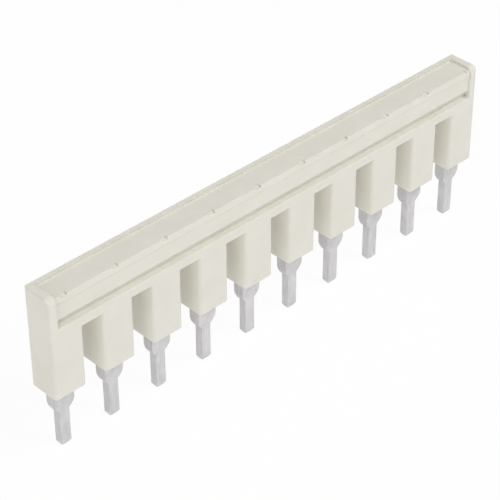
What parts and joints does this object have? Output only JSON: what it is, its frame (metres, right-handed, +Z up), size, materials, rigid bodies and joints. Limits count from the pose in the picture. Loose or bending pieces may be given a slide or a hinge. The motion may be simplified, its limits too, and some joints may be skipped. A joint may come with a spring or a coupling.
{
  "type": "comb jumper bridge",
  "caption": "Comb-shaped jumper bar for terminal blocks: a moulded insulating bar with a leg for each pole, around a stamped metal comb whose stepped prongs plug in and link the poles.",
  "frame": {"origin": "middle of the plane in which the prongs leave the legs", "axes": "+X along the bar, -Y to the grooved front, +Z up from the legs to the rim; the prongs point along -Z"},
  "size_m": [0.0596, 0.0036, 0.0192],
  "materials": {
    "moulding": "fine satin moulded polyamide, light warm grey",
    "tinned_metal": "matt tin plating over copper"
  },
  "bodies": {
    "root": {"housing": "moulding", "contact_comb": "tinned_metal"}
  },
  "joints": []
}
